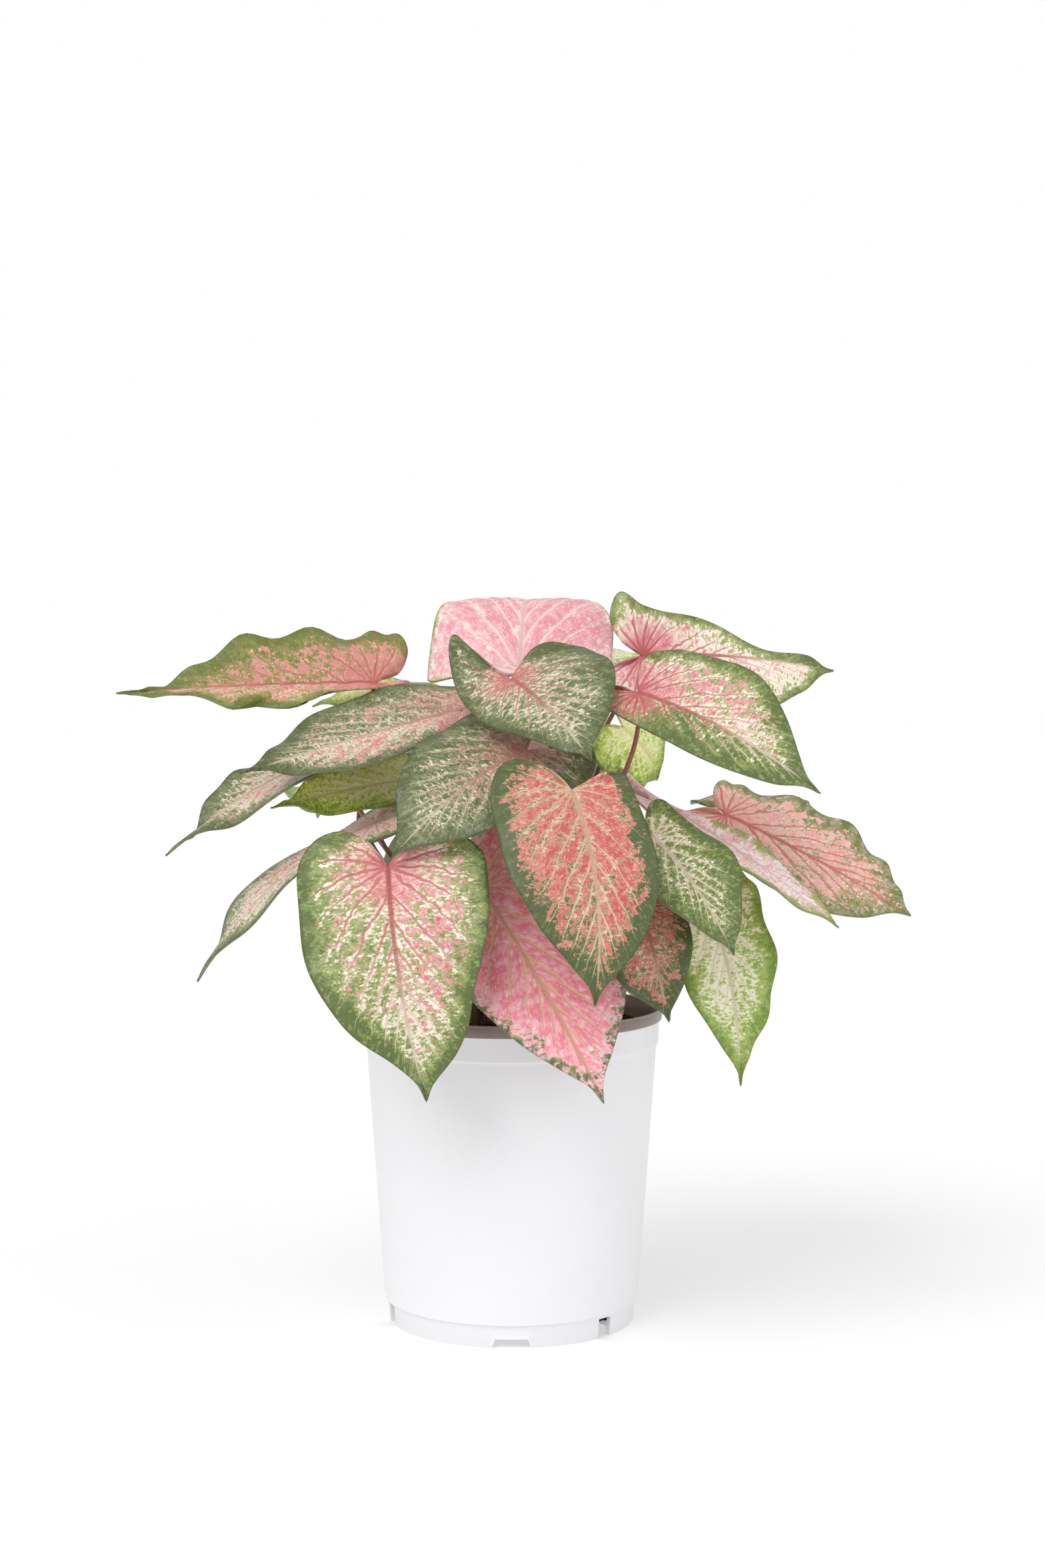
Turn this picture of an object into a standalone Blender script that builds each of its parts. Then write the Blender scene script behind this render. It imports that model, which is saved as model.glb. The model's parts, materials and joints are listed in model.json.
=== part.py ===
"""A caladium in its nursery pot: heart-shaped blades, their stalks, the soil and the pot."""

import math

import bpy
import numpy as np
from mathutils import Vector
from mathutils.bvhtree import BVHTree

# Lengths are written in millimetres and turned into metres where a mesh is made.
# The origin is the middle of the pot's foot, +Z is up and the front of the plant faces -Y.
MM = 0.001

# Pot: a 4.5 inch nursery pot with a drawn-in foot, a collar and a rim band.
RIM_RADIUS = 57.15
RIM_TOP = 117.4
RIM_BAND = 4.2
COLLAR_RADIUS = 55.9
COLLAR_FOOT = 104.0
WALL_TOP_RADIUS = 55.0
WALL_FOOT_RADIUS = 48.0
WALL_FOOT = 8.7
FOOT_RADIUS = 46.3
WALL = 1.1
FLOOR_UNDERSIDE = 3.4
FLOOR_TOP = 5.0
POT_SIDES = 56
FOOT_NOTCHES = (0, 120, 240)
NOTCH_WIDTH = 16.5
NOTCH_HEIGHT = 3.2
DRAINS = (47, 167, 287)
DRAIN_WIDTH = 7.0
DRAIN_HEIGHT = 7.2

# Soil: fills the pot to a little under the rim.
SOIL_TOP = 110.3
SOIL_RADIUS = 54.2
SOIL_FOOT_RADIUS = 46.0
SOIL_SIDES = 44
SOIL_LUMP = 0.9
STALK_DEPTH = 14.0

# Blades and stalks.
BLADE_THICKNESS = 0.8
BLADE_ROWS = 12
BLADE_COLUMNS = 3
STALK_RADIUS_FOOT = 1.9
STALK_RADIUS_TOP = 1.25
STALK_SIDES = 6
STALK_STEPS = 8
STALK_GAP = 0.4
STALK_NECK = 2.0

# One half of the flat blade from the tip round the widest point to the sinus.
# x is a share of the full width, y a share of the length from attachment to tip.
HALF_OUTLINE = [
    (0.0, 1.0), (0.042, 0.92), (0.16, 0.815), (0.33, 0.65), (0.455, 0.43), (0.5, 0.17),
    (0.475, -0.07), (0.38, -0.215), (0.245, -0.265), (0.12, -0.19), (0.03, -0.05),
]
WIDEST = 5

# What a leaf takes where its row below doesn't say. Pairs are for its left and right half, seen
# from its upper face with the tip ahead. Angles in degrees, lengths in millimetres.
# arch: height of the midrib's bow. sweep: its bow sideways. fold: how far a half stands up from
# the midrib. roll: how much more it bends by its margin. wave, waves, phase: the margin's waves.
# nick: the same waves in the outline. lobe: length of the basal lobes. lift: how far they rise.
# turn and twist: how far the blade is turned about its midrib at its foot and at its tip.
# trim: how much of the outline's width each half has at five places from near the tip to the lobe.
FULL = (1, 1, 1, 1, 1)
LEAF = dict(
    width=30, arch=8, sweep=0, fold=5, roll=-10, wave=1.5, waves=3.0, phase=(0.0, 1.7),
    nick=0.0, lobe=1.0, lift=0, turn=0, twist=0, trim=(FULL, FULL), tone="cream",
)

# at: where the stalk meets the blade. tip: the blade's tip. face: the way the upper face looks,
# as an angle from the front towards the right and an angle above the horizon. Rows 1 to 21 are
# the leaves seen from the front, from the upper left round to the lower right and then the ones
# behind them, and the rest fill the back.
LEAVES = {
    "01": dict(at=(-53, 10, 240), tip=(-147, -20, 236), face=(-15, 50), width=(24, 28), arch=1,
               fold=(18, 24), roll=(-20, -10), wave=(2.5, 2.5), waves=(3.4, 2.9), phase=(2.6, 0.8),
               lobe=(0.5, 0.6), trim=((1, 1, 0.5, 0.35, 0.35), (0.15, 0.7, 0.9, 1, 1.05))),
    "02": dict(at=(-18, -12, 230), tip=(-97, -55, 207), face=(-12, 55), width=25, arch=1, fold=0, roll=-8,
               wave=(3, 2), waves=2.6, phase=(2.0, 0), lobe=0.8,
               trim=((0.3, 1.15, 0.5, 0.45, 0.5), (0.9, 1.3, 1.1, 0.87, 0.88))),
    "03": dict(at=(-64, -4, 213), tip=(-123, -56, 178), face=(-15, 74), width=16, arch=6, sweep=-1.5,
               fold=8, roll=-5, wave=3, nick=0.1, lobe=0.4,
               trim=((0.9, 1.35, 1.2, 0.8, 0.7), (0.4, 0.8, 1, 1, 1))),
    "04": dict(at=(-30, -6, 204), tip=(-88, -34, 194), face=(-15, 48), width=(19, 17), arch=2, roll=-5,
               wave=2, tone="green"),
    "05": dict(at=(-50, -36, 188), tip=(-112, -54, 133), face=(-70, 44), width=24, arch=8, wave=2,
               lobe=0.7),
    "06": dict(at=(-43, -72, 175), tip=(-29, -88, 96), face=(-8, 18), width=(35, 33), arch=6, sweep=1.5,
               roll=-12, lobe=(0.55, 0.7), trim=((1.9, 1, 1, 0.95, 0.9), (0.6, 0.95, 1, 1, 1))),
    "07": dict(at=(-11, -48, 166), tip=(32, -80, 94), face=(12, 22), width=(36, 25), arch=5, roll=-12,
               trim=((1.15, 1.13, 1.05, 1, 1), (1, 1.1, 1.05, 1, 1)), tone="pink"),
    "08": dict(at=(21, -76, 202), tip=(28, -100, 130), face=(5, 20), width=(29, 31), arch=6, sweep=-4,
               fold=8, roll=-15, lobe=(0.1, 0.85),
               trim=((1, 0.92, 0.72, 0.72, 0.9), (1.15, 1.03, 0.97, 0.95, 1)), tone="coral"),
    "09": dict(at=(5, -42, 215), tip=(-42, -78, 178), face=(-15, 35), width=(27, 28), arch=6, roll=-15,
               trim=(FULL, (1, 1.05, 1.1, 1.12, 1.05))),
    "10": dict(at=(3, 9, 244), tip=(8, 74, 253), face=(0, 75), width=(38, 36), arch=25, fold=(10, 4),
               roll=(-40, -25), wave=2.5, lobe=(0.1, 0.75),
               trim=((0.75, 0.9, 0.98, 1, 0.9), (1, 1, 1, 0.95, 0.93)), tone="pink"),
    "11": dict(at=(0, -30, 241), tip=(28, -72, 212), face=(5, 45), width=(32, 20), arch=4, fold=(12, -12),
               lobe=(0.7, 1.55), lift=(4, 9)),
    "12": dict(at=(51, 18, 251), tip=(126, 24, 245), face=(5, 45), width=(23, 22), arch=3, fold=10,
               roll=(-10, -15), wave=2, phase=(4.33, 1.7), turn=-35, twist=-10, lobe=(0.6, 1),
               trim=((0.9, 0.36, 0.75, 1.35, 1.15), (2.4, 1.6, 1, 1, 1))),
    "13": dict(at=(46, -44, 236), tip=(107, -78, 201), face=(5, 45), width=(29, 15), arch=5, fold=(12, 2),
               roll=(-12, -5), lobe=(0.35, 1.3), trim=((0.55, 0.97, 0.97, 0.95, 1), (1.9, 1.6, 1, 1, 1))),
    "14": dict(at=(54, -22, 195), tip=(117, -52, 152), face=(20, 68), width=24, arch=3, fold=(10, 12),
               wave=2, trim=((1, 0.6, 0.22, 0.4, 0.6), (1, 0.95, 0.55, 0.35, 0.4))),
    "15": dict(at=(81, -6, 190), tip=(147, -28, 154), face=(20, 45), width=(29, 33), arch=2, fold=(2, -2),
               roll=-5, wave=2, lobe=(0.5, 0.8),
               trim=((2, 1.15, 0.8, 0.75, 0.85), (1.3, 1.05, 0.55, 0.45, 0.5)), tone="coral"),
    "16": dict(at=(51, -57, 184), tip=(77, -79, 145), face=(20, 30), width=(17, 19), arch=4, fold=(15, 12),
               roll=-12, nick=0.06, trim=((1.8, 1.3, 1, 1, 1), FULL)),
    "17": dict(at=(73, -15, 160), tip=(84, -32, 92), face=(10, 12), width=(22, 19), arch=4, sweep=-2,
               roll=-12, lobe=0.5, trim=((0.6, 0.85, 0.88, 0.9, 0.9), (0.8, 1, 1, 1, 1)), tone="green"),
    "18": dict(at=(46, -60, 160), tip=(55, -72, 121), face=(5, 15), width=(15, 20), arch=2, fold=10,
               roll=-12, wave=1, tone="coral"),
    "19": dict(at=(43, 12, 223), tip=(57, 28, 202), face=(0, 35), width=(18, 20), arch=4, roll=-12, wave=1,
               tone="green"),
    "20": dict(at=(30, 48, 242), tip=(52, 98, 252), face=(0, 60), width=22, arch=6, roll=-12, wave=1,
               tone="green"),
    "21": dict(at=(-38, 30, 234), tip=(-79, 38, 231), face=(-10, 70), width=(15, 20), arch=4, roll=-12,
               wave=1, tone="green"),
    "22": dict(at=(-22, 46, 219), tip=(-56, 100, 190), face=(180, 55), width=26),
    "23": dict(at=(26, 44, 208), tip=(22, 101, 150), face=(180, 42), width=28, tone="pink"),
    "24": dict(at=(91, 40, 194), tip=(121, 94, 172), face=(150, 60), width=19),
    "25": dict(at=(-61, 32, 196), tip=(-82, 95, 184), face=(210, 55), width=24, tone="green"),
    "26": dict(at=(-22, 62, 170), tip=(-38, 100, 95), face=(190, 25), width=30, arch=7, tone="coral"),
    "27": dict(at=(38, 60, 170), tip=(58, 98, 98), face=(165, 25), width=28, arch=7),
}

TONES = {
    "cream": (0.36, 0.42, 0.24),
    "green": (0.30, 0.48, 0.08),
    "pink": (0.72, 0.26, 0.30),
    "coral": (0.55, 0.20, 0.17),
}
STALK_COLOUR = (0.20, 0.075, 0.055)
SOIL_COLOUR = (0.035, 0.025, 0.018)
POT_COLOUR = (0.88, 0.88, 0.89)


def material(name, colour, roughness):
    found = bpy.data.materials.get(name)
    if found is None:
        found = bpy.data.materials.new(name)
        found.use_nodes = True
        shader = found.node_tree.nodes["Principled BSDF"]
        shader.inputs["Base Color"].default_value = (*colour, 1.0)
        shader.inputs["Roughness"].default_value = roughness
        found.diffuse_color = (*colour, 1.0)
    return found


def add_mesh(name, points, faces, shade):
    """A new object from points in millimetres."""
    mesh = bpy.data.meshes.new(name)
    corners = [tuple(float(c) * MM for c in p) for p in points]
    mesh.from_pydata(corners, [], [tuple(int(i) for i in f) for f in faces])
    mesh.update()
    mesh.materials.append(shade)
    node = bpy.data.objects.new(name, mesh)
    bpy.context.scene.collection.objects.link(node)
    return node


def cut(node, points, faces, solver="EXACT"):
    """Takes a closed mesh, given in millimetres, away from the node."""
    tool = add_mesh("cutter", points, faces, node.data.materials[0])
    step = node.modifiers.new("cut", "BOOLEAN")
    step.operation = "DIFFERENCE"
    step.solver = solver
    step.object = tool
    graph = bpy.context.evaluated_depsgraph_get()
    done = bpy.data.meshes.new_from_object(node.evaluated_get(graph))
    node.modifiers.clear()
    node.data = done
    bpy.data.objects.remove(tool)


# Blades: the half outline is laid out on both sides of an arched midrib, folded, rolled and
# waved, and given an even thickness. Both faces are split into the same triangles.


def pair(value):
    return value if isinstance(value, tuple) else (value, value)


def unit(v):
    v = np.asarray(v, float)
    return v / np.linalg.norm(v, axis=-1, keepdims=True)


def spline(points, u):
    """Smooth curve through the points, for u from 0 to 1."""
    p = np.array(points, float)
    last = len(p) - 1
    q = np.vstack([2 * p[0] - p[1], p, 2 * p[-1] - p[-2]])
    s = np.clip(u, 0, 1) * last
    i = np.minimum(s.astype(int), last - 1)
    f = (s - i)[:, None]
    a, b, c, d = q[i], q[i + 1], q[i + 2], q[i + 3]
    return 0.5 * (2 * b + (c - a) * f + (2 * a - 5 * b + 4 * c - d) * f**2 + (3 * b - a - 3 * c + d) * f**3)


def facing(leaf):
    turn, rise = (math.radians(v) for v in leaf["face"])
    return np.array([math.cos(rise) * math.sin(turn), -math.cos(rise) * math.cos(turn), math.sin(rise)])


def blade_grid(leaf, rows, columns):
    """Middle surface of the blade: half, row from tip to notch, column from midrib to margin, xyz."""
    foot, along = np.array(leaf["at"], float), np.subtract(leaf["tip"], leaf["at"]).astype(float)
    up = facing(leaf)
    up = unit(up - unit(along) * (up @ unit(along)))
    side = np.cross(unit(along), up)

    def midrib(y, lift):
        bow = np.where(y < 0, y, y * (1 - y))[..., None]
        rise = lift * np.where(y < 0, (y / 0.3) ** 2, 0)[..., None]
        raised = up * (4 * leaf["arch"] * bow + rise)
        return foot + along * y[..., None] + raised + side * (4 * leaf["sweep"] * bow)

    u = np.linspace(0, 1, rows + 1)
    outline = spline(HALF_OUTLINE, u)
    inner = np.maximum(0, 1 - u * (len(HALF_OUTLINE) - 1) / WIDEST)
    t = np.linspace(0, 1, columns + 1)[None] ** 0.9
    halves = []
    for half, sign in enumerate((-1, 1)):
        keys = ("width", "wave", "nick", "lobe", "lift")
        width, wave, nick, lobe, lift = (pair(leaf[key])[half] for key in keys)
        fold, roll = (math.radians(pair(leaf[key])[half]) for key in ("fold", "roll"))
        ripple = np.sin(2 * math.pi * pair(leaf["waves"])[half] * u + pair(leaf["phase"])[half])
        ripple = ripple * np.clip(4 * u, 0, 1)
        share = spline([(part,) for part in leaf["trim"][half]], (u - 0.1) / 0.8)[:, 0]
        out = (2 * width * outline[:, 0] * share * (1 + nick * ripple))[:, None] * t
        margin = np.where(outline[:, 1] < 0, outline[:, 1] * lobe, outline[:, 1])
        y = inner[:, None] + (margin - inner)[:, None] * t
        bend = roll / width
        if abs(bend) < 1e-6:
            away, rise = out * math.cos(fold), out * math.sin(fold)
        else:
            away = (np.sin(fold + bend * out) - math.sin(fold)) / bend
            rise = (math.cos(fold) - np.cos(fold + bend * out)) / bend
        rise = rise + wave * t**2 * ripple[:, None]
        ahead = unit(midrib(y + 1e-3, lift) - midrib(y - 1e-3, lift))
        over = unit(up - ahead * (ahead @ up)[..., None])
        across = np.cross(ahead, over)
        place = np.clip(y, 0, 1)
        angle = np.radians(leaf["turn"] * (1 - place) ** 2 + leaf["twist"] * place**2)[..., None]
        turned = across * np.cos(angle) + over * np.sin(angle)
        raised = over * np.cos(angle) - across * np.sin(angle)
        halves.append(midrib(y, lift) + turned * (sign * away)[..., None] + raised * rise[..., None])
    return np.array(halves)


def blade_mesh(leaf, rows, columns, thickness):
    """(points, faces, the upper face's direction at the attachment) of the closed blade."""
    grid = blade_grid(leaf, rows, columns)
    number = {}
    points = []
    index = np.zeros((2, rows + 1, columns + 1), int)
    for half in range(2):
        for i in range(rows + 1):
            for j in range(columns + 1):
                key = (half, i, j)
                if i == 0:
                    key = "tip"
                elif j == 0:
                    key = ("rib", i) if 2 * i < rows else "foot"
                if key not in number:
                    number[key] = len(points)
                    points.append(grid[half, i, j])
                index[half, i, j] = number[key]
    points = np.array(points)
    faces = []
    for half in range(2):
        for i in range(rows):
            for j in range(columns):
                a, b = index[half, i, j], index[half, i + 1, j]
                c, d = index[half, i + 1, j + 1], index[half, i, j + 1]
                for face in ((a, b, c), (a, c, d)) if half else ((a, c, b), (a, d, c)):
                    if len(set(face)) == 3:
                        faces.append(face)
    faces = np.array(faces)
    flat = np.cross(points[faces[:, 1]] - points[faces[:, 0]], points[faces[:, 2]] - points[faces[:, 0]])
    normal = np.zeros_like(points)
    for corner in range(3):
        np.add.at(normal, faces[:, corner], flat)
    normal = unit(normal)
    if normal[number["foot"]] @ facing(leaf) < 0:
        faces, normal = faces[:, ::-1], -normal
    edges = {(int(f[k]), int(f[(k + 1) % 3])) for f in faces for k in range(3)}
    under = len(points)
    rim = []
    for p, q in sorted(edge for edge in edges if edge[::-1] not in edges):
        rim += [(q, p, p + under), (q, p + under, q + under)]
    points = np.vstack([points + normal * thickness / 2, points - normal * thickness / 2])
    return points, np.vstack([faces, faces[:, ::-1] + under, np.array(rim)]), normal[number["foot"]]


# Stalks: each leaves the soil upright, bows to its blade and comes up under it. The bow is the
# first one, out of a fixed list, that is clear of every blade and of the stalks before it.


def stalk_path(root, end, normal, bow):
    root, end, normal = np.array(root, float), np.array(end, float), np.array(normal, float)
    reach = np.linalg.norm(end - root)
    first = root + np.array([0, 0, 0.42 * reach]) + bow
    second = end - normal * 0.26 * reach - np.array([0, 0, 0.06 * reach]) + 0.6 * bow
    neck = end - normal * STALK_NECK
    t = np.linspace(0, 1, STALK_STEPS)[:, None]
    curve = root * (1 - t) ** 3 + 3 * first * t * (1 - t) ** 2 + 3 * second * t**2 * (1 - t) + neck * t**3
    return np.vstack([root - np.array([0, 0, STALK_DEPTH]), curve, end])


def dense(path, step=2.0):
    found = [path[0]]
    for a, b in zip(path, path[1:]):
        parts = max(1, int(np.linalg.norm(b - a) / step))
        found += [a + (b - a) * k / parts for k in range(1, parts + 1)]
    return np.array(found)


def stalk_radius(share):
    return STALK_RADIUS_FOOT + (STALK_RADIUS_TOP - STALK_RADIUS_FOOT) * share


def clearance(path, own, blades, stalks, floor):
    """The least gap from the stalk along this path to any blade, to other stalks and to the rim.

    It stops at the first gap under the floor, which is that of a better path."""
    points = dense(path)
    share = np.linspace(0, 1, len(points))
    gap = 1e9
    for other in stalks:
        far = np.linalg.norm(points[:, None] - other[None], axis=2)
        gap = min(gap, far.min() - 2 * STALK_RADIUS_FOOT)
    for point, s in zip(points, share):
        if gap <= floor:
            return gap
        if point[2] < SOIL_TOP + 2:
            continue
        radius = stalk_radius(s)
        left = np.linalg.norm(points[-1] - point)
        for name, tree in blades.items():
            if name == own and left < 3:
                continue
            near = tree.find_nearest(Vector(point))
            gap = min(gap, near[3] - radius)
        if point[2] < RIM_TOP + 3:
            gap = min(gap, RIM_RADIUS - 5 - radius - math.hypot(point[0], point[1]))
    return gap


def clear_route(name, end, normal, blades, stalks):
    """The first path, in a fixed order of roots and bows, that keeps 0.8 mm clear, or the clearest of all."""
    out = math.atan2(end[1], end[0])
    best = (-1e9, None)
    for size in (0, 8, 16, 26, 38, 50):
        for turn in range(12 if size else 1):
            bow = size * np.array([math.cos(out + turn * math.pi / 6), math.sin(out + turn * math.pi / 6), 0])
            for ring in (9, 16, 23, 30):
                for aside in (0, 20, -20, 45, -45, 75, -75):
                    angle = out + math.radians(aside)
                    root = (ring * math.cos(angle), ring * math.sin(angle), SOIL_TOP + 2)
                    path = stalk_path(root, end, normal, bow)
                    gap = clearance(path, name, blades, stalks, best[0])
                    if gap > 0.8:
                        return path
                    if gap > best[0]:
                        best = (gap, path)
    print("stalk", name, "keeps only", round(best[0], 2), "mm")
    return best[1]


def tube(path, radii, sides):
    """Closed tube round the path."""
    ahead = unit(np.gradient(path, axis=0))
    ahead[0] = unit(path[1] - path[0])
    across = unit(np.cross(ahead[0], [0.0, 1.0, 0.0]))
    points = []
    for spot, way, radius in zip(path, ahead, radii):
        across = unit(across - way * (across @ way))
        third = np.cross(way, across)
        for k in range(sides):
            a = 2 * math.pi * k / sides
            points.append(spot + radius * (across * math.cos(a) + third * math.sin(a)))
    faces = []
    for ring in range(len(path) - 1):
        for k in range(sides):
            a, b = ring * sides + k, ring * sides + (k + 1) % sides
            faces += [(a, b, b + sides), (a, b + sides, a + sides)]
    top = (len(path) - 1) * sides
    for k in range(1, sides - 1):
        faces += [(0, k + 1, k), (top, top + k, top + k + 1)]
    return np.array(points), faces


def lathe(profile, sides):
    """Closed solid turned round the Z axis from (radius, height) pairs that run upwards on the outside."""
    points, rows = [], []
    for radius, height in profile:
        if radius == 0:
            rows.append([len(points)] * sides)
            points.append((0, 0, height))
            continue
        rows.append([len(points) + k for k in range(sides)])
        for k in range(sides):
            a = 2 * math.pi * (k + 0.5) / sides
            points.append((radius * math.cos(a), radius * math.sin(a), height))
    faces = []
    for low, high in zip(rows, rows[1:] + rows[:1]):
        for k in range(sides):
            n = (k + 1) % sides
            for face in ((low[k], low[n], high[n]), (low[k], high[n], high[k])):
                if len(set(face)) == 3:
                    faces.append(face)
    return points, faces


def wedge(azimuth, near, far, profile):
    """Closed bar that runs outwards at an azimuth from the front, from a (sideways, height) outline."""
    a = math.radians(azimuth)
    out, side = (math.sin(a), -math.cos(a)), (math.cos(a), math.sin(a))
    points = []
    for reach in (near, far):
        for s, z in profile:
            points.append((out[0] * reach + side[0] * s, out[1] * reach + side[1] * s, z))
    n = len(profile)
    faces = [tuple(range(n)), tuple(reversed(range(n, 2 * n)))]
    for k in range(n):
        m = (k + 1) % n
        faces.append((k, k + n, m + n, m))
    return points, faces


for old in list(bpy.data.objects):
    bpy.data.objects.remove(old)

# Pot.
pot_profile = [
    (FOOT_RADIUS, 0), (FOOT_RADIUS + 0.5, WALL_FOOT - 0.8), (WALL_FOOT_RADIUS, WALL_FOOT),
    (WALL_TOP_RADIUS, COLLAR_FOOT - 0.4), (COLLAR_RADIUS - 0.1, COLLAR_FOOT + 0.4),
    (COLLAR_RADIUS, RIM_TOP - RIM_BAND - 0.5), (RIM_RADIUS, RIM_TOP - RIM_BAND),
    (RIM_RADIUS, RIM_TOP - 0.5), (RIM_RADIUS - 0.4, RIM_TOP), (RIM_RADIUS - WALL, RIM_TOP),
    (RIM_RADIUS - WALL - 0.3, RIM_TOP - 0.4), (COLLAR_RADIUS - WALL, RIM_TOP - RIM_BAND - 1.2),
    (COLLAR_RADIUS - WALL - 0.1, COLLAR_FOOT), (WALL_TOP_RADIUS - WALL, COLLAR_FOOT - 1.2),
    (WALL_FOOT_RADIUS - WALL, WALL_FOOT + 1.0), (FOOT_RADIUS - WALL, WALL_FOOT - 0.8),
    (FOOT_RADIUS - WALL - 0.2, FLOOR_TOP), (0, FLOOR_TOP), (0, FLOOR_UNDERSIDE),
    (FOOT_RADIUS - WALL - 0.4, FLOOR_UNDERSIDE), (FOOT_RADIUS - WALL - 0.6, 0),
]
pot = add_mesh("pot", *lathe(pot_profile, POT_SIDES), material("white plastic", POT_COLOUR, 0.35))
half = NOTCH_WIDTH / 2
for azimuth in FOOT_NOTCHES:
    outline = [(-half - 1.5, -1), (half + 1.5, -1), (half - 2, NOTCH_HEIGHT), (-half + 2, NOTCH_HEIGHT)]
    cut(pot, *wedge(azimuth, FOOT_RADIUS - 6, FOOT_RADIUS + 6, outline))
half = DRAIN_WIDTH / 2
for azimuth in DRAINS:
    top = DRAIN_HEIGHT
    outline = [(-half, -1), (half, -1), (half, top - 2), (half - 2, top), (-half, top)]
    cut(pot, *wedge(azimuth, FOOT_RADIUS - 9, FOOT_RADIUS + 6, outline))

# Blades.
stalk_ends = {}
blade_trees = {}
for name, row in LEAVES.items():
    leaf = {**LEAF, **row}
    points, faces, normal = blade_mesh(leaf, BLADE_ROWS, BLADE_COLUMNS, BLADE_THICKNESS)
    tone = leaf["tone"]
    add_mesh("blade_" + name, points, faces, material(tone + " blade", TONES[tone], 0.5))
    stalk_ends[name] = (np.array(leaf["at"]) - normal * (BLADE_THICKNESS / 2 + STALK_GAP), normal)
    corners = [Vector(p) for p in points]
    blade_trees[name] = BVHTree.FromPolygons(corners, [tuple(int(i) for i in f) for f in faces])

# Stalks.
routes = {}
for name in sorted(LEAVES, key=lambda key: (-LEAVES[key]["at"][2], key)):
    end, normal = stalk_ends[name]
    path = clear_route(name, end, normal, blade_trees, [dense(route) for route in routes.values()])
    routes[name] = path
for name in LEAVES:
    path = routes[name]
    radii = [stalk_radius(s) for s in np.linspace(0, 1, len(path))]
    add_mesh("stalk_" + name, *tube(path, radii, STALK_SIDES), material("stalk", STALK_COLOUR, 0.45))

# Soil, with a plain hole for each stalk.
rings = (0.0, 0.2, 0.4, 0.6, 0.8, 0.95, 1.0)
profile = [(SOIL_FOOT_RADIUS - 1.3, FLOOR_TOP + 0.4), (SOIL_FOOT_RADIUS - 0.9, WALL_FOOT)]
profile += [(SOIL_FOOT_RADIUS + 0.4, WALL_FOOT + 2.5), (WALL_TOP_RADIUS - 2.0, COLLAR_FOOT - 3)]
profile += [(SOIL_RADIUS * r, SOIL_TOP - 1.2 * r) for r in reversed(rings)]
profile.append((0, FLOOR_TOP + 0.4))
points, faces = lathe(profile, SOIL_SIDES)
lumpy = []
for x, y, z in points:
    if z > COLLAR_FOOT and math.hypot(x, y) < SOIL_RADIUS * 0.98:
        z += SOIL_LUMP * (math.sin(0.31 * x + 1.3) * math.sin(0.27 * y) + 0.4 * math.sin(0.9 * x - 0.7 * y))
    lumpy.append((x, y, z))
soil = add_mesh("soil", lumpy, faces, material("soil", SOIL_COLOUR, 0.95))
for name, path in routes.items():
    hole = np.array([path[0] - np.array([0, 0, 1.0]), path[0] + np.array([0, 0, STALK_DEPTH + 6.0])])
    wide = (STALK_RADIUS_FOOT + 0.35) / math.cos(math.pi / 8)
    cut(soil, *tube(hole, (wide, wide), 8))
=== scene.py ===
"""Dresses the potted caladium: its pot, soil, variegated leaf blades and leaf stalks."""

import json
import math
import random

import bpy
import numpy as np
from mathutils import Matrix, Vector, noise

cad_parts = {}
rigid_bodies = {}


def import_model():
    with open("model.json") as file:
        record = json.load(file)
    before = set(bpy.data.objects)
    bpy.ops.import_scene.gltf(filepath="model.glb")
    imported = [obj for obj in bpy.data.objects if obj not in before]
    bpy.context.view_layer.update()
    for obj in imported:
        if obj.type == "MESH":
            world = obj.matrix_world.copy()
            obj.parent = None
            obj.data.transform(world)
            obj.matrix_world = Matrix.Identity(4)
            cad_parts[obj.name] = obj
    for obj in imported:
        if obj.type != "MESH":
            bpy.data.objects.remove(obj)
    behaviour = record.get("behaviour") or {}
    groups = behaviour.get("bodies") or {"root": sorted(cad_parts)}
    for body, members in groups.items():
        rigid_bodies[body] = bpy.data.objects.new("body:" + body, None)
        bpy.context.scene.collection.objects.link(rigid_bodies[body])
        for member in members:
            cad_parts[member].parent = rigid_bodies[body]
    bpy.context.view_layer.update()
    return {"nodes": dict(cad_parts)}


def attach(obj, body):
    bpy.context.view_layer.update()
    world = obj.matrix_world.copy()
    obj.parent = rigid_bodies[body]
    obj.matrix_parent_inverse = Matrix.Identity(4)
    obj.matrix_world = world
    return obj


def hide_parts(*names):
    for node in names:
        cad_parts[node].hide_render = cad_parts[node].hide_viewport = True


for old in list(bpy.data.objects):
    bpy.data.objects.remove(old)
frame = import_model()

# Pot.
# A round nursery pot moulded in white plastic and drawn in at the foot, with a collar and a rim
# band. The band and the inside are taupe. The foot has drain slots and shallow notches.
MM = 0.001
POT_SIDES = 144
RIM_TOP = 117.4
FLOOR_TOP = 5.0
FOOT_RADIUS = 46.3
# From the middle of the underside outwards, up the outside, over the rim and down the inside.
POT_PROFILE = [
    (10.0, 3.4), (44.0, 3.4), (44.7, 3.0), (44.6, 0.3), (44.9, 0.0), (46.1, 0.0), (46.35, 0.3),
    (46.8, 7.6), (47.1, 8.1), (47.9, 8.5), (48.05, 9.3), (51.5, 56.0), (54.97, 103.3),
    (55.1, 103.8), (55.7, 104.3), (55.82, 104.9), (55.9, 112.5), (56.1, 112.8), (56.9, 113.1),
    (57.12, 113.4), (57.15, 116.7), (57.0, 117.15), (56.7, 117.38), (56.3, 117.4), (55.95, 117.25),
    (55.75, 116.9), (54.85, 112.1), (54.75, 104.2), (53.9, 102.6), (46.9, 9.6), (45.4, 7.9),
    (45.0, 5.4), (44.4, 5.0), (10.0, 5.0),
]
TAUPE_FROM = 112.7
LIP_DEPTH = 0.55
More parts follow.
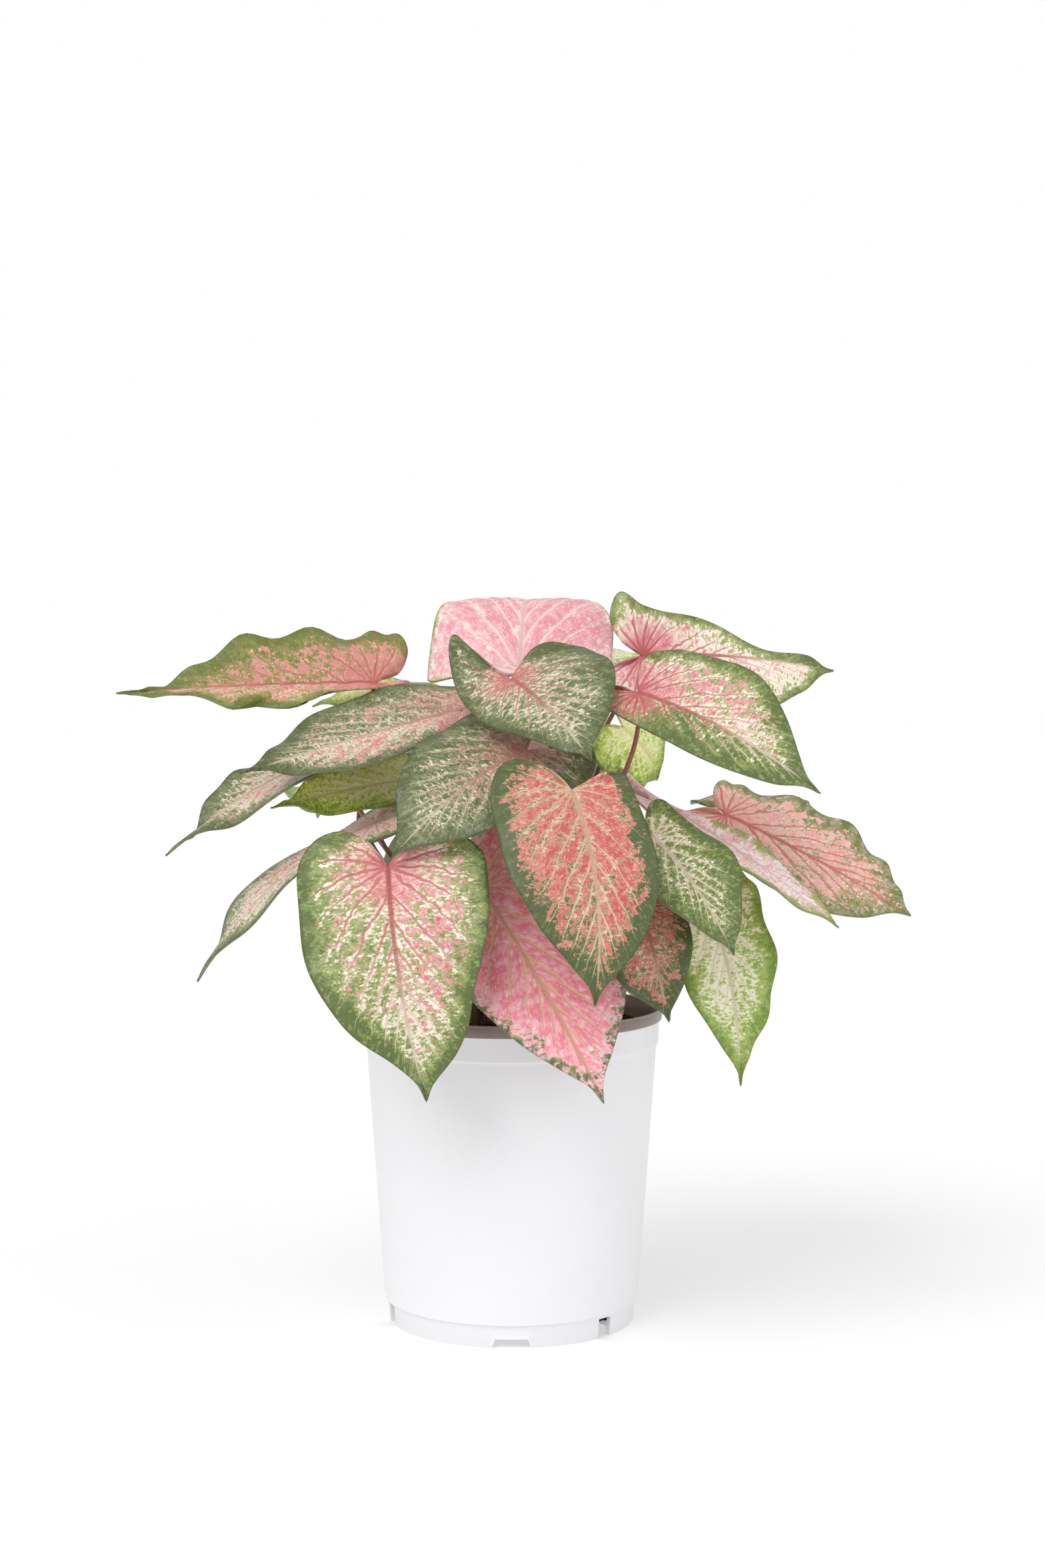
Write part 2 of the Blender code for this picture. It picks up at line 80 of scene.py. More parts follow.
# Angles from the front, width, height, and the width at the top as a share.
NOTCHES = ((0, 120, 240), 16.5, 3.2, 0.72)
DRAINS = ((47, 167, 287), 7.0, 7.2, 0.9)
WHITE_PLASTIC = (234, 234, 236)
WHITE_SHADE = (229, 229, 232)
TAUPE_PLASTIC = (124, 108, 100)
TAUPE_STREAK = (134, 119, 111)
# The lip at the top of the rim is painted a lighter taupe, a painted highlight where it faces up into the
# light.
LIP_HIGHLIGHT_TAUPE = (158, 146, 138)


def ink(red, green, blue):
    """A paint colour from its 0 to 255 screen values."""
    screen = [c / 255 for c in (red, green, blue)]
    return tuple(c / 12.92 if c <= 0.04045 else ((c + 0.055) / 1.055) ** 2.4 for c in screen) + (1.0,)


def only(piece):
    """Selects this piece and nothing else."""
    bpy.ops.object.select_all(action="DESELECT")
    piece.select_set(True)
    bpy.context.view_layer.objects.active = piece


def apply_modifiers(piece):
    only(piece)
    for step in list(piece.modifiers):
        bpy.ops.object.modifier_apply(modifier=step.name)


def node(tree, kind, inputs=None, **settings):
    """A new node with its settings, and with values or links at the named inputs."""
    made = tree.nodes.new(kind)
    for key, value in settings.items():
        setattr(made, key, value)
    for key, value in (inputs or {}).items():
        if isinstance(value, bpy.types.NodeSocket):
            tree.links.new(value, made.inputs[key])
        else:
            made.inputs[key].default_value = value
    return made


def calc(tree, operation, *values):
    return node(tree, "ShaderNodeMath", dict(enumerate(values)), operation=operation).outputs[0]


def fade(tree, value, low, high):
    """0 where the value is under low, 1 where it is over high, and a smooth change between."""
    inputs = {"Value": value, "From Min": low, "From Max": high}
    return node(tree, "ShaderNodeMapRange", inputs, interpolation_type="SMOOTHSTEP").outputs[0]


def blend(tree, mask, first, second):
    """The first colour where the mask is 0, the second where it is 1."""
    made = node(tree, "ShaderNodeMix", data_type="RGBA")
    for key, value in (("Factor_Float", mask), ("A_Color", first), ("B_Color", second)):
        socket = next(s for s in made.inputs if s.identifier == key)
        if isinstance(value, bpy.types.NodeSocket):
            tree.links.new(value, socket)
        else:
            socket.default_value = value
    return next(s for s in made.outputs if s.identifier == "Result_Color")


def grain(tree, place, scale, detail=3.0, contrast=1.9, roughness=0.6):
    """Cloudy pattern from 0 to 1 with this contrast."""
    inputs = {"Vector": place, "Scale": scale, "Detail": detail, "Roughness": roughness}
    cloud = node(tree, "ShaderNodeTexNoise", inputs).outputs["Fac"]
    spread = calc(tree, "MULTIPLY_ADD", cloud, contrast, 0.5 - contrast / 2)
    return node(tree, "ShaderNodeClamp", {"Value": spread}).outputs[0]


def new_material(name, roughness):
    """An empty Principled material: (material, its tree, its shader)."""
    made = bpy.data.materials.new(name)
    made.use_nodes = True
    shader = made.node_tree.nodes["Principled BSDF"]
    shader.inputs["Roughness"].default_value = roughness
    return made, made.node_tree, shader


def relief(tree, shader, height, strength, distance):
    bump = node(tree, "ShaderNodeBump", {"Height": height, "Strength": strength, "Distance": distance})
    tree.links.new(bump.outputs["Normal"], shader.inputs["Normal"])


def cut_slots(pot, azimuths, width, height, taper):
    """Slots through the foot, at angles from the front, a little narrower at their top."""
    for azimuth in azimuths:
        turn = math.radians(azimuth)
        out = Vector((math.sin(turn), -math.cos(turn), 0))
        bpy.ops.object.select_all(action="DESELECT")
        bpy.ops.mesh.primitive_cube_add(size=1, location=out * FOOT_RADIUS * MM, rotation=(0, 0, turn))
        tool = bpy.context.active_object
        tool.scale = (width * MM, 12 * MM, 2 * height * MM)
        for corner in tool.data.vertices:
            if corner.co.z > 0:
                corner.co.x *= taper
        step = pot.modifiers.new("slot", "BOOLEAN")
        step.operation = "DIFFERENCE"
        step.object = tool
        apply_modifiers(pot)
        bpy.data.objects.remove(tool)


bpy.ops.object.select_all(action="DESELECT")
radius, height = POT_PROFILE[0]
bpy.ops.mesh.primitive_circle_add(vertices=POT_SIDES, radius=radius * MM, location=(0, 0, height * MM))
pot = bpy.context.active_object
pot.name = pot.data.name = "nursery_pot"
bpy.ops.object.mode_set(mode="EDIT")
bpy.ops.mesh.select_all(action="SELECT")
for wider, higher in POT_PROFILE[1:]:
    bpy.ops.mesh.extrude_region_move(TRANSFORM_OT_translate={"value": (0, 0, (higher - height) * MM)})
    bpy.ops.transform.resize(value=(wider / radius, wider / radius, 1))
    radius, height = wider, higher
bpy.ops.mesh.select_all(action="DESELECT")
bpy.ops.mesh.select_mode(type="EDGE")
bpy.ops.mesh.select_non_manifold()
bpy.ops.mesh.edge_face_add()
bpy.ops.mesh.select_all(action="SELECT")
bpy.ops.mesh.remove_doubles(threshold=0.005 * MM)
bpy.ops.mesh.normals_make_consistent(inside=False)
bpy.ops.object.mode_set(mode="OBJECT")
only(pot)
bpy.ops.object.transform_apply(location=True, rotation=True, scale=True)
cut_slots(pot, *NOTCHES)
cut_slots(pot, *DRAINS)
band = pot.data.attributes.new("band", "FLOAT", "FACE")
for face in pot.data.polygons:
    outwards = Vector((face.center.x, face.center.y, 0)).normalized().dot(face.normal)
    on_lip = face.center.z > (RIM_TOP - LIP_DEPTH) * MM
    inside = outwards < -0.3 and face.center.z > FLOOR_TOP * MM
    on_floor = face.normal.z > 0.5 and face.center.z < (FLOOR_TOP + 1) * MM
    taupe = face.center.z > TAUPE_FROM * MM or inside or on_floor
    band.data[face.index].value = 0.5 if on_lip else float(taupe)
only(pot)
bpy.ops.object.shade_smooth_by_angle(angle=math.radians(38))

plastic, tree, shader = new_material("moulded plastic", 0.34)
place = node(tree, "ShaderNodeTexCoord").outputs["Object"]
which = node(tree, "ShaderNodeAttribute", attribute_name="band").outputs["Fac"]
cloud = grain(tree, place, 38.0, 4.0, 1.4)
streaks = node(tree, "ShaderNodeMapping", {"Vector": place, "Scale": (260.0, 260.0, 9.0)}).outputs[0]
scuff = grain(tree, streaks, 1.0, 2.0, 1.6)
white = blend(tree, calc(tree, "MULTIPLY", cloud, 0.5), ink(*WHITE_PLASTIC), ink(*WHITE_SHADE))
taupe = blend(tree, scuff, ink(*TAUPE_PLASTIC), ink(*TAUPE_STREAK))
# Painted highlight: the lip at the top of the rim gets the lighter taupe.
rim_and_inside = blend(tree, fade(tree, which, 0.7, 0.8), ink(*LIP_HIGHLIGHT_TAUPE), taupe)
painted = blend(tree, fade(tree, which, 0.1, 0.2), white, rim_and_inside)
tree.links.new(painted, shader.inputs["Base Color"])
tree.links.new(calc(tree, "MULTIPLY_ADD", scuff, 0.16, 0.27), shader.inputs["Roughness"])
fine = grain(tree, place, 900.0, 2.0)
relief(tree, shader, calc(tree, "ADD", fine, calc(tree, "MULTIPLY", cloud, 2.0)), 0.12, 0.0004)
pot.data.materials.clear()
pot.data.materials.append(plastic)
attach(pot, "root")
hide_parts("pot")

# Soil.
# Dark peaty potting mix that fills the pot to a little under the rim, with crumbs and bits of
# bark on top. It closes round each leaf stalk.
SOIL_TOP = 110.3
SOIL_DISH = 1.2
SOIL_RADIUS = 54.3
SOIL_DIVISIONS = 90
SOIL_SIDE = [(54.0, 103.6), (53.2, 101.0), (46.4, 10.0), (44.6, 8.2), (44.4, 5.5)]
SOIL_DARK = (30, 22, 17)
SOIL_BROWN = (72, 52, 38)
BARK = (104, 76, 54)
CRUMB_COUNT = 1500
CRUMB_SEED = 11


def soil_height(x, y):
    """Height of the soil's top at a place, all in millimetres."""
    low = 0.9 * (math.sin(0.31 * x + 1.3) * math.sin(0.27 * y) + 0.4 * math.sin(0.9 * x - 0.7 * y))
    clods = 1.1 * noise.noise((x * 0.16, y * 0.16, 3.1)) + 0.7 * noise.noise((x * 0.5, y * 0.5, 8.2))
    edge = min(1.0, max(0.0, (SOIL_RADIUS - math.hypot(x, y)) / 4))
    return SOIL_TOP - SOIL_DISH * math.hypot(x, y) / SOIL_RADIUS + (low + clods) * edge


bpy.ops.object.select_all(action="DESELECT")
bpy.ops.mesh.primitive_grid_add(x_subdivisions=SOIL_DIVISIONS, y_subdivisions=SOIL_DIVISIONS, size=2)
soil = bpy.context.active_object
soil.name = soil.data.name = "potting_soil"
for corner in soil.data.vertices:
    u, v = corner.co.x, corner.co.y
    x, y = (SOIL_RADIUS * u * math.sqrt(1 - v * v / 2), SOIL_RADIUS * v * math.sqrt(1 - u * u / 2))
    corner.co = (x * MM, y * MM, soil_height(x, y) * MM)
bpy.ops.object.mode_set(mode="EDIT")
bpy.ops.mesh.select_all(action="DESELECT")
bpy.ops.mesh.select_mode(type="EDGE")
bpy.ops.mesh.select_non_manifold()
radius, height = SOIL_RADIUS, SOIL_TOP - SOIL_DISH
for wider, higher in SOIL_SIDE:
    bpy.ops.mesh.extrude_region_move(TRANSFORM_OT_translate={"value": (0, 0, (higher - height) * MM)})
    bpy.ops.transform.resize(value=(wider / radius, wider / radius, 1))
    radius, height = wider, higher
bpy.ops.mesh.edge_face_add()
bpy.ops.mesh.select_all(action="SELECT")
bpy.ops.mesh.normals_make_consistent(inside=False)
bpy.ops.object.mode_set(mode="OBJECT")
only(soil)
bpy.ops.object.shade_smooth()

peat, tree, shader = new_material("peaty soil", 0.95)
place = node(tree, "ShaderNodeTexCoord").outputs["Object"]
crumbly = grain(tree, place, 420.0, 6.0, 2.2)
clods = grain(tree, place, 90.0, 3.0, 1.8)
earth = blend(tree, calc(tree, "MULTIPLY", crumbly, clods), ink(*SOIL_DARK), ink(*SOIL_BROWN))
tree.links.new(earth, shader.inputs["Base Color"])
relief(tree, shader, crumbly, 0.9, 0.0012)
shader.inputs["Specular IOR Level"].default_value = 0.2
soil.data.materials.append(peat)
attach(soil, "root")
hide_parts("soil")

bpy.ops.object.select_all(action="DESELECT")
bpy.ops.mesh.primitive_ico_sphere_add(subdivisions=1, radius=1)
crumb = bpy.context.active_object
crumb_points = np.array([v.co for v in crumb.data.vertices])
crumb_faces = np.array([tuple(f.vertices) for f in crumb.data.polygons])
bpy.data.objects.remove(crumb)
draw = random.Random(CRUMB_SEED)
points, faces, shades = [], [], []
for number in range(CRUMB_COUNT):
    reach = (SOIL_RADIUS - 1.6) * math.sqrt(draw.random())
    turn = draw.uniform(0, 2 * math.pi)
    x, y = reach * math.cos(turn), reach * math.sin(turn)
    size = 0.35 + 1.5 * draw.random() ** 3
    flat = (draw.uniform(0.8, 1.9), draw.uniform(0.5, 1.0), draw.uniform(0.35, 0.7))
    bent = crumb_points * (1 + 0.3 * np.array([[draw.uniform(-1, 1)] for _ in crumb_points]))
    heading, tilt = draw.uniform(0, 2 * math.pi), draw.uniform(-0.5, 0.5)
    c, s = math.cos(heading), math.sin(heading)
    ct, st = math.cos(tilt), math.sin(tilt)
    tilted = (bent * flat) @ np.array([[1, 0, 0], [0, ct, st], [0, -st, ct]])
    turned = tilted @ np.array([[c, s, 0], [-s, c, 0], [0, 0, 1]])
    faces += [tuple(int(i) + len(points) for i in face) for face in crumb_faces]
    points += [tuple(p) for p in (turned * size + (x, y, soil_height(x, y) + 0.15 * size)) * MM]
    shades += [draw.random()] * len(crumb_faces)
mesh = bpy.data.meshes.new("soil_crumbs")
mesh.from_pydata(points, [], faces)
mesh.attributes.new("shade", "FLOAT", "FACE").data.foreach_set("value", shades)
crumbs = bpy.data.objects.new("soil_crumbs", mesh)
bpy.context.scene.collection.objects.link(crumbs)

bark, tree, shader = new_material("bark crumbs", 0.9)
place = node(tree, "ShaderNodeTexCoord").outputs["Object"]
shade = node(tree, "ShaderNodeAttribute", attribute_name="shade").outputs["Fac"]
rough = grain(tree, place, 700.0, 3.0)
woody = blend(tree, fade(tree, shade, 0.55, 0.95), ink(*SOIL_DARK), ink(*BARK))
woody = blend(tree, calc(tree, "MULTIPLY", rough, 0.5), woody, ink(*SOIL_BROWN))
tree.links.new(woody, shader.inputs["Base Color"])
relief(tree, shader, rough, 0.6, 0.0006)
crumbs.data.materials.append(bark)
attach(crumbs, "root")

# Leaf blades.
# Each is one thin heart-shaped sheet, arched along its midrib, folded up or down to either side
# and waved at its margin, with sunken veins that fan out from where the stalk meets it.
BLADE_THICKNESS = 0.8
BLADE_ROWS = 76
BLADE_COLUMNS = 22
# One half of the flat blade from the tip round the widest point to the notch of the heart.
# x is a share of the full width, y a share of the length from attachment to tip.
HALF_OUTLINE = [
    (0.0, 1.0), (0.042, 0.92), (0.16, 0.815), (0.33, 0.65), (0.455, 0.43), (0.5, 0.17),
    (0.475, -0.07), (0.38, -0.215), (0.245, -0.265), (0.12, -0.19), (0.03, -0.05),
]
WIDEST = 5
FULL = (1, 1, 1, 1, 1)
LEAF = dict(
    width=30, arch=8, sweep=0, fold=5, roll=-10, wave=1.5, waves=3.0, phase=(0.0, 1.7),
    nick=0.0, lobe=1.0, lift=0, turn=0, twist=0, trim=(FULL, FULL), tone="cream",
)
# Millimetres and degrees. at: where the stalk meets the blade. tip: the blade's tip. face: the way
# the upper face looks, from the front towards the right and above the horizon. Pairs are for the
# left and right half, seen from above with the tip ahead. trim: shares of the width from the tip
# to the lobe. 22 to 27 fill the back.
LEAVES = {
    "01": dict(at=(-53, 10, 240), tip=(-147, -20, 236), face=(-15, 50), width=(24, 28), arch=1,
               fold=(18, 24), roll=(-20, -10), wave=(2.5, 2.5), waves=(3.4, 2.9), phase=(2.6, 0.8),
               lobe=(0.5, 0.6), trim=((1, 1, 0.5, 0.35, 0.35), (0.15, 0.7, 0.9, 1, 1.05))),
    "02": dict(at=(-18, -12, 230), tip=(-97, -55, 207), face=(-12, 55), width=25, arch=1, fold=0, roll=-8,
               wave=(3, 2), waves=2.6, phase=(2.0, 0), lobe=0.8,
               trim=((0.3, 1.15, 0.5, 0.45, 0.5), (0.9, 1.3, 1.1, 0.87, 0.88))),
    "03": dict(at=(-64, -4, 213), tip=(-123, -56, 178), face=(-15, 74), width=16, arch=6, sweep=-1.5,
               fold=8, roll=-5, wave=3, nick=0.1, lobe=0.4,
               trim=((0.9, 1.35, 1.2, 0.8, 0.7), (0.4, 0.8, 1, 1, 1))),
    "04": dict(at=(-30, -6, 204), tip=(-88, -34, 194), face=(-15, 48), width=(19, 17), arch=2, roll=-5,
               wave=2, tone="green"),
    "05": dict(at=(-50, -36, 188), tip=(-112, -54, 133), face=(-70, 44), width=24, arch=8, wave=2,
               lobe=0.7),
    "06": dict(at=(-43, -72, 175), tip=(-29, -88, 96), face=(-8, 18), width=(35, 33), arch=6, sweep=1.5,
               roll=-12, lobe=(0.55, 0.7), trim=((1.9, 1, 1, 0.95, 0.9), (0.6, 0.95, 1, 1, 1))),
    "07": dict(at=(-11, -48, 166), tip=(32, -80, 94), face=(12, 22), width=(36, 25), arch=5, roll=-12,
               trim=((1.15, 1.13, 1.05, 1, 1), (1, 1.1, 1.05, 1, 1)), tone="pink"),
    "08": dict(at=(21, -76, 202), tip=(28, -100, 130), face=(5, 20), width=(29, 31), arch=6, sweep=-4,
               fold=8, roll=-15, lobe=(0.1, 0.85),
               trim=((1, 0.92, 0.72, 0.72, 0.9), (1.15, 1.03, 0.97, 0.95, 1)), tone="coral"),
    "09": dict(at=(5, -42, 215), tip=(-42, -78, 178), face=(-15, 35), width=(27, 28), arch=6, roll=-15,
               trim=(FULL, (1, 1.05, 1.1, 1.12, 1.05))),
    "10": dict(at=(3, 9, 244), tip=(8, 74, 253), face=(0, 75), width=(38, 36), arch=25, fold=(10, 4),
               roll=(-40, -25), wave=2.5, lobe=(0.1, 0.75),
               trim=((0.75, 0.9, 0.98, 1, 0.9), (1, 1, 1, 0.95, 0.93)), tone="pink"),
    "11": dict(at=(0, -30, 241), tip=(28, -72, 212), face=(5, 45), width=(32, 20), arch=4, fold=(12, -12),
               lobe=(0.7, 1.55), lift=(4, 9)),
    "12": dict(at=(51, 18, 251), tip=(126, 24, 245), face=(5, 45), width=(23, 22), arch=3, fold=10,
               roll=(-10, -15), wave=2, phase=(4.33, 1.7), turn=-35, twist=-10, lobe=(0.6, 1),
               trim=((0.9, 0.36, 0.75, 1.35, 1.15), (2.4, 1.6, 1, 1, 1))),
    "13": dict(at=(46, -44, 236), tip=(107, -78, 201), face=(5, 45), width=(29, 15), arch=5, fold=(12, 2),
               roll=(-12, -5), lobe=(0.35, 1.3), trim=((0.55, 0.97, 0.97, 0.95, 1), (1.9, 1.6, 1, 1, 1))),
    "14": dict(at=(54, -22, 195), tip=(117, -52, 152), face=(20, 68), width=24, arch=3, fold=(10, 12),
               wave=2, trim=((1, 0.6, 0.22, 0.4, 0.6), (1, 0.95, 0.55, 0.35, 0.4))),
    "15": dict(at=(81, -6, 190), tip=(147, -28, 154), face=(20, 45), width=(29, 33), arch=2, fold=(2, -2),
               roll=-5, wave=2, lobe=(0.5, 0.8),
               trim=((2, 1.15, 0.8, 0.75, 0.85), (1.3, 1.05, 0.55, 0.45, 0.5)), tone="coral"),
    "16": dict(at=(51, -57, 184), tip=(77, -79, 145), face=(20, 30), width=(17, 19), arch=4, fold=(15, 12),
               roll=-12, nick=0.06, trim=((1.8, 1.3, 1, 1, 1), FULL)),
    "17": dict(at=(73, -15, 160), tip=(84, -32, 92), face=(10, 12), width=(22, 19), arch=4, sweep=-2,
               roll=-12, lobe=0.5, trim=((0.6, 0.85, 0.88, 0.9, 0.9), (0.8, 1, 1, 1, 1)), tone="green"),
    "18": dict(at=(46, -60, 160), tip=(55, -72, 121), face=(5, 15), width=(15, 20), arch=2, fold=10,
               roll=-12, wave=1, tone="coral"),
    "19": dict(at=(43, 12, 223), tip=(57, 28, 202), face=(0, 35), width=(18, 20), arch=4, roll=-12, wave=1,
               tone="green"),
    "20": dict(at=(30, 48, 242), tip=(52, 98, 252), face=(0, 60), width=22, arch=6, roll=-12, wave=1,
               tone="green"),
    "21": dict(at=(-38, 30, 234), tip=(-79, 38, 231), face=(-10, 70), width=(15, 20), arch=4, roll=-12,
               wave=1, tone="green"),
    "22": dict(at=(-22, 46, 219), tip=(-56, 100, 190), face=(180, 55), width=26),
    "23": dict(at=(26, 44, 208), tip=(22, 101, 150), face=(180, 42), width=28, tone="pink"),
    "24": dict(at=(91, 40, 194), tip=(121, 94, 172), face=(150, 60), width=19),
    "25": dict(at=(-61, 32, 196), tip=(-82, 95, 184), face=(210, 55), width=24, tone="green"),
    "26": dict(at=(-22, 62, 170), tip=(-38, 100, 95), face=(190, 25), width=30, arch=7, tone="coral"),
    "27": dict(at=(38, 60, 170), tip=(58, 98, 98), face=(165, 25), width=28, arch=7),
}


def pair(value):
    return value if isinstance(value, tuple) else (value, value)


def unit(v):
    v = np.asarray(v, float)
    return v / np.linalg.norm(v, axis=-1, keepdims=True)


def spline(points, u):
    """Smooth curve through the points, for u from 0 to 1."""
    p = np.array(points, float)
    last = len(p) - 1
    q = np.vstack([2 * p[0] - p[1], p, 2 * p[-1] - p[-2]])
    s = np.clip(u, 0, 1) * last
    i = np.minimum(s.astype(int), last - 1)
    f = (s - i)[:, None]
    a, b, c, d = q[i], q[i + 1], q[i + 2], q[i + 3]
    return 0.5 * (2 * b + (c - a) * f + (2 * a - 5 * b + 4 * c - d) * f**2 + (3 * b - a - 3 * c + d) * f**3)


def facing(leaf):
    turn, rise = (math.radians(v) for v in leaf["face"])
    return np.array([math.cos(rise) * math.sin(turn), -math.cos(rise) * math.cos(turn), math.sin(rise)])


# The veins: side veins leave the midrib at this slope, steeper towards the tip, one for each share
# of the blade's length. Behind the first of them they fan out evenly from the attachment. The blade
# puckers up between them, and the midrib lies in a groove, in millimetres.
VEIN_SLOPE = 1.0
VEIN_STEEPER = 3.5
VEIN_CURVE = 0.5
VEIN_SHARE = 0.11
FAN_STEP = math.radians(21)
PUCKER = 0.32
GROOVE_DEPTH = 0.54
GROOVE_WIDTH = 1.4
# Fine ruffles of the margin for the left and right half: how many, where they start, their height
# in millimetres and how far they notch the outline. Behind FRILL_END they die out.
FRILL_END = 0.72
FRILL = ((5.3, 0.1, 0.4, 0.012), (6.1, 0.6, 0.4, 0.012))
FRILLS = {
    "01": ((9.0, 0.36, 1.0, 0.22), (8.7, 0.03, 0.9, 0.09)),
    "02": ((7.0, 0.30, 0.9, 0.05), (6.0, 0.20, 0.6, 0.03)),
    "03": ((6.0, 0.10, 1.0, 0.08), (7.0, 0.50, 0.9, 0.07)),
    "04": ((6.0, 0.20, 0.8, 0.05), (7.0, 0.60, 0.8, 0.05)),
    "12": ((3.3, 0.93, 1.0, 0.13), (7.0, 0.20, 0.7, 0.05)),
    "15": ((8.0, 0.40, 1.0, 0.06), (6.0, 0.50, 0.8, 0.04)),
    "17": ((7.0, 0.30, 0.7, 0.05), (6.0, 0.10, 0.5, 0.04)),
}


def vein_map(x, y, length):
    """(which vein a place of the flat blade is at, as a running number, and the veins' gap there)."""
    across, along = np.abs(x) / length, y / length
    spread = 1 + VEIN_STEEPER * across
    start = (along - VEIN_SLOPE * across - VEIN_CURVE * across**2) / spread
    slope = VEIN_SLOPE + VEIN_STEEPER * start + 2 * VEIN_CURVE * across
    turn = np.arctan2(along - VEIN_CURVE * across**2, across) - math.atan(VEIN_SLOPE)
    number = np.where(start > 0, start / VEIN_SHARE, turn / FAN_STEP)
    pinnate = VEIN_SHARE * length * spread / np.sqrt(1 + slope**2)
    gap = np.where(start > 0, pinnate, np.hypot(x, y) * FAN_STEP)
    return number, gap


def blade_surface(name, leaf, rows, columns):
    """The blade's middle surface and its flat map, by row from tip to notch and column across it."""
    foot, along = np.array(leaf["at"], float), np.subtract(leaf["tip"], leaf["at"]).astype(float)
    length = np.linalg.norm(along)
    up = facing(leaf)
    up = unit(up - unit(along) * (up @ unit(along)))
    side = np.cross(unit(along), up)

    def midrib(y, lift):
        bow = np.where(y < 0, y, y * (1 - y))[..., None]
        rise = lift * np.where(y < 0, (y / 0.3) ** 2, 0)[..., None]
        arched = up * (4 * leaf["arch"] * bow + rise)
        return foot + along * y[..., None] + arched + side * (4 * leaf["sweep"] * bow)

    u = np.linspace(0, 1, rows + 1)
    outline = spline(HALF_OUTLINE, u)
    inner = np.maximum(0, 1 - u * (len(HALF_OUTLINE) - 1) / WIDEST)
    t = np.linspace(0, 1, columns + 1)[None] ** 0.9
    halves, maps = [], []
    for half, sign in enumerate((-1, 1)):
        keys = ("width", "wave", "nick", "lobe", "lift")
        width, wave, nick, lobe, lift = (pair(leaf[key])[half] for key in keys)
        fold, roll = (math.radians(pair(leaf[key])[half]) for key in ("fold", "roll"))
        beat = 2 * math.pi * pair(leaf["waves"])[half] * u + pair(leaf["phase"])[half]
        ripple = np.sin(beat) * np.clip(4 * u, 0, 1)
        count, start, height, notch = FRILLS.get(name, FRILL)[half]
        frill = np.sin(2 * math.pi * (count * u + start)) * np.clip(5 * u, 0, 1)
        frill = frill * np.clip(5 * (FRILL_END - u), 0.12, 1)
        share = spline([(part,) for part in leaf["trim"][half]], (u - 0.1) / 0.8)[:, 0]
        out = (2 * width * outline[:, 0] * share * (1 + nick * ripple + notch * frill))[:, None] * t
        margin = np.where(outline[:, 1] < 0, outline[:, 1] * lobe, outline[:, 1])
        y = inner[:, None] + (margin - inner)[:, None] * t
        bend = roll / width
        if abs(bend) < 1e-6:
            away, rise = out * math.cos(fold), out * math.sin(fold)
        else:
            away = (np.sin(fold + bend * out) - math.sin(fold)) / bend
            rise = (math.cos(fold) - np.cos(fold + bend * out)) / bend
        rise = rise + wave * t**2 * ripple[:, None] + height * t**3 * frill[:, None]
        edge_x, edge_y = out[:, -1], y[:, -1] * length
        gaps = np.hypot(out[..., None] - edge_x, y[..., None] * length - edge_y)
        edge = gaps.min(axis=2)
        number, gap = vein_map(out, y * length, length)
        quilt = -np.cos(2 * math.pi * number) * np.clip(gap / 7, 0, 1) * np.clip(edge / 5, 0, 1)
        groove = np.exp(-((out / GROOVE_WIDTH) ** 2)) * np.clip(y, 0, 1) * np.clip(edge / 3, 0, 1)
        rise = rise + PUCKER * quilt - GROOVE_DEPTH * groove
        ahead = unit(midrib(y + 1e-3, lift) - midrib(y - 1e-3, lift))
        over = unit(up - ahead * (ahead @ up)[..., None])
        across = np.cross(ahead, over)
        place = np.clip(y, 0, 1)
        angle = np.radians(leaf["turn"] * (1 - place) ** 2 + leaf["twist"] * place**2)[..., None]
        turned = across * np.cos(angle) + over * np.sin(angle)
        raised = over * np.cos(angle) - across * np.sin(angle)
        halves.append(midrib(y, lift) + turned * (sign * away)[..., None] + raised * rise[..., None])
        reach = np.hypot(out, y * length) / length
        maps.append(np.stack([sign * out, y * length, number, gap, edge, reach], -1))
    joined = [np.concatenate([sides[0][:, ::-1], sides[1][:, 1:]], axis=1) for sides in (halves, maps)]
    return joined[0], joined[1], up


def paint_guide(mesh, key, values):
    """Keeps one number or three at each corner of the mesh, for its paint to follow."""
    kind, field = ("FLOAT_VECTOR", "vector") if values.ndim == 2 else ("FLOAT", "value")
    guide = mesh.attributes.new(key, kind, "POINT")
    guide.data.foreach_set(field, values.astype(np.float32).ravel())


